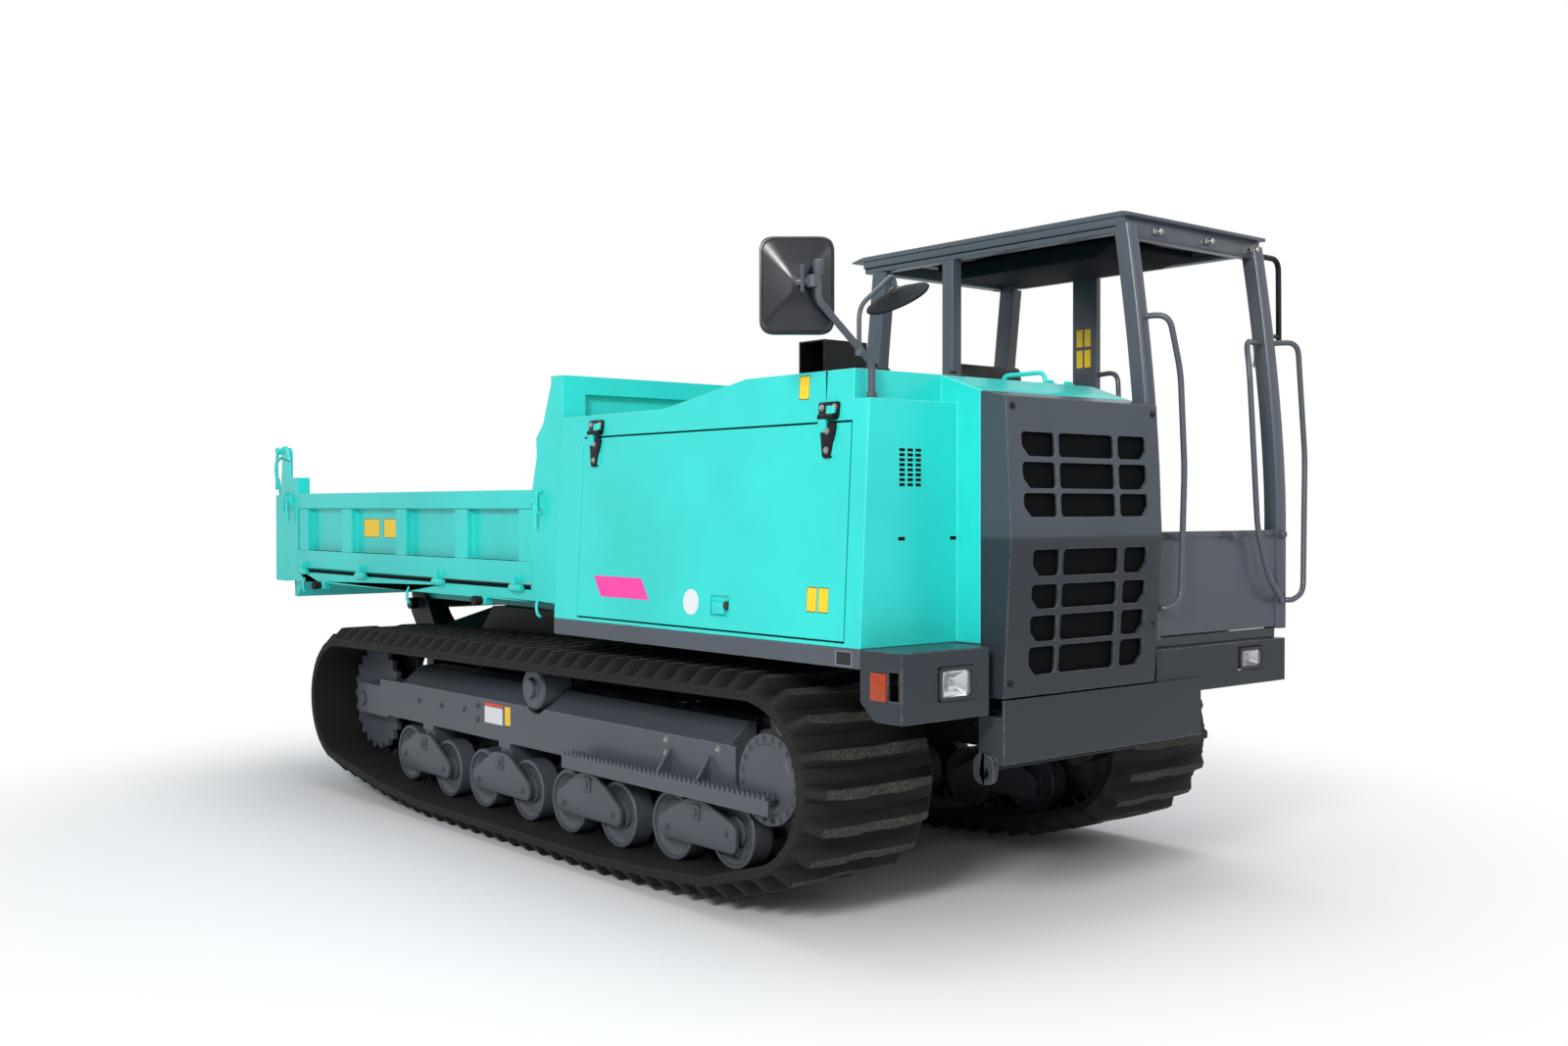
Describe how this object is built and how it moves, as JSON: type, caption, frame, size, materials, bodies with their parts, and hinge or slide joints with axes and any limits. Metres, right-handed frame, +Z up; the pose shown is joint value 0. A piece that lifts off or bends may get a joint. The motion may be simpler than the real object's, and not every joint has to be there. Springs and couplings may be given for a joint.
{
  "type": "tracked dump carrier",
  "caption": "Rubber-tracked carrier with an open operator's canopy beside an engine hood and a rear-tipping bed with drop sides and a top-hung tailgate.",
  "frame": {"origin": "middle of the machine's outline, on the ground", "axes": "+X forward, from the bed to the grille; +Y to the machine's left; +Z up"},
  "size_m": [5.0663, 2.6811, 2.4823],
  "materials": {
    "paint_green": "satin",
    "paint_grey": "satin",
    "paint_black": "satin",
    "metal_dark": "matte",
    "rubber_black": "matte",
    "plastic_black": "matte",
    "lamp_lens": "clear",
    "rod_chrome": "polished"
  },
  "bodies": {
    "chassis": {"track_right": "rubber_black", "track_frame_right": "paint_grey", "drive_sprocket_right": "paint_grey", "idler_right": "paint_grey", "bogie_right_1": "paint_grey", "bogie_right_2": "paint_grey", "bogie_right_3": "paint_grey", "bogie_right_4": "paint_grey", "track_left": "rubber_black", "track_frame_left": "paint_grey", "drive_sprocket_left": "paint_grey", "idler_left": "paint_grey", "bogie_left_1": "paint_grey", "bogie_left_2": "paint_grey", "bogie_left_3": "paint_grey", "bogie_left_4": "paint_grey", "chassis_frame": "paint_black", "deck": "paint_grey", "bumper_right": "paint_grey", "bumper_left": "paint_grey", "front_skirt": "paint_grey", "hood_shell": "paint_green", "grille": "paint_grey", "radiator": "metal_dark", "engine_block": "metal_dark", "air_outlet": "paint_grey", "canopy_frame": "paint_grey", "roof_panel": "paint_grey", "roof_lining": "plastic_black", "cab_front_panel": "paint_grey", "seat": "plastic_black", "console": "plastic_black", "mirror_right": "plastic_black", "mirror_left": "plastic_black", "headlamp_right": "lamp_lens", "headlamp_left": "lamp_lens"},
    "bed": {"bed_body": "paint_green"},
    "gate_right": {"side_gate_right": "paint_green"},
    "gate_left": {"side_gate_left": "paint_green"},
    "tailgate": {"tailgate": "paint_green"},
    "hood_door": {"hood_door": "paint_green"},
    "cylinder_barrel": {"cylinder_barrel": "paint_black"},
    "cylinder_rod": {"cylinder_rod": "rod_chrome"}
  },
  "joints": [
    {"name": "bed_tip", "type": "hinge", "parent": "chassis", "child": "bed", "pos_m": [-2.1, 0, 0.89], "axis": [0, -1, 0], "range_deg": [0, 50]},
    {"name": "gate_right_drop", "type": "hinge", "parent": "bed", "child": "gate_right", "pos_m": [-2.164, -1.045, 1.086], "axis": [1, 0, 0], "range_deg": [0, 150]},
    {"name": "gate_left_drop", "type": "hinge", "parent": "bed", "child": "gate_left", "pos_m": [-2.164, 1.045, 1.086], "axis": [-1, 0, 0], "range_deg": [0, 150]},
    {"name": "tailgate_swing", "type": "hinge", "parent": "bed", "child": "tailgate", "pos_m": [-2.362, 0, 1.72], "axis": [0, 1, 0], "range_deg": [0, 80]},
    {"name": "hood_door_lift", "type": "hinge", "parent": "chassis", "child": "hood_door", "pos_m": [2.2, -1.05468, 1.71], "axis": [-1, 0, 0], "range_deg": [0, 85]},
    {"name": "cylinder_swing", "type": "hinge", "parent": "chassis", "child": "cylinder_barrel", "pos_m": [0.223, 0, 0.535], "axis": [0, 1, 0], "range_deg": [0, 17.7]},
    {"name": "cylinder_stroke", "type": "slide", "parent": "cylinder_barrel", "child": "cylinder_rod", "axis": [-0.946, 0, 0.3241], "range_m": [0, 0.782]}
  ],
  "couplings": [
    {"joint": "cylinder_swing", "follows": "bed_tip", "ratio": 0.3532},
    {"joint": "cylinder_stroke", "follows": "bed_tip", "m_per_rad": 0.8945}
  ]
}
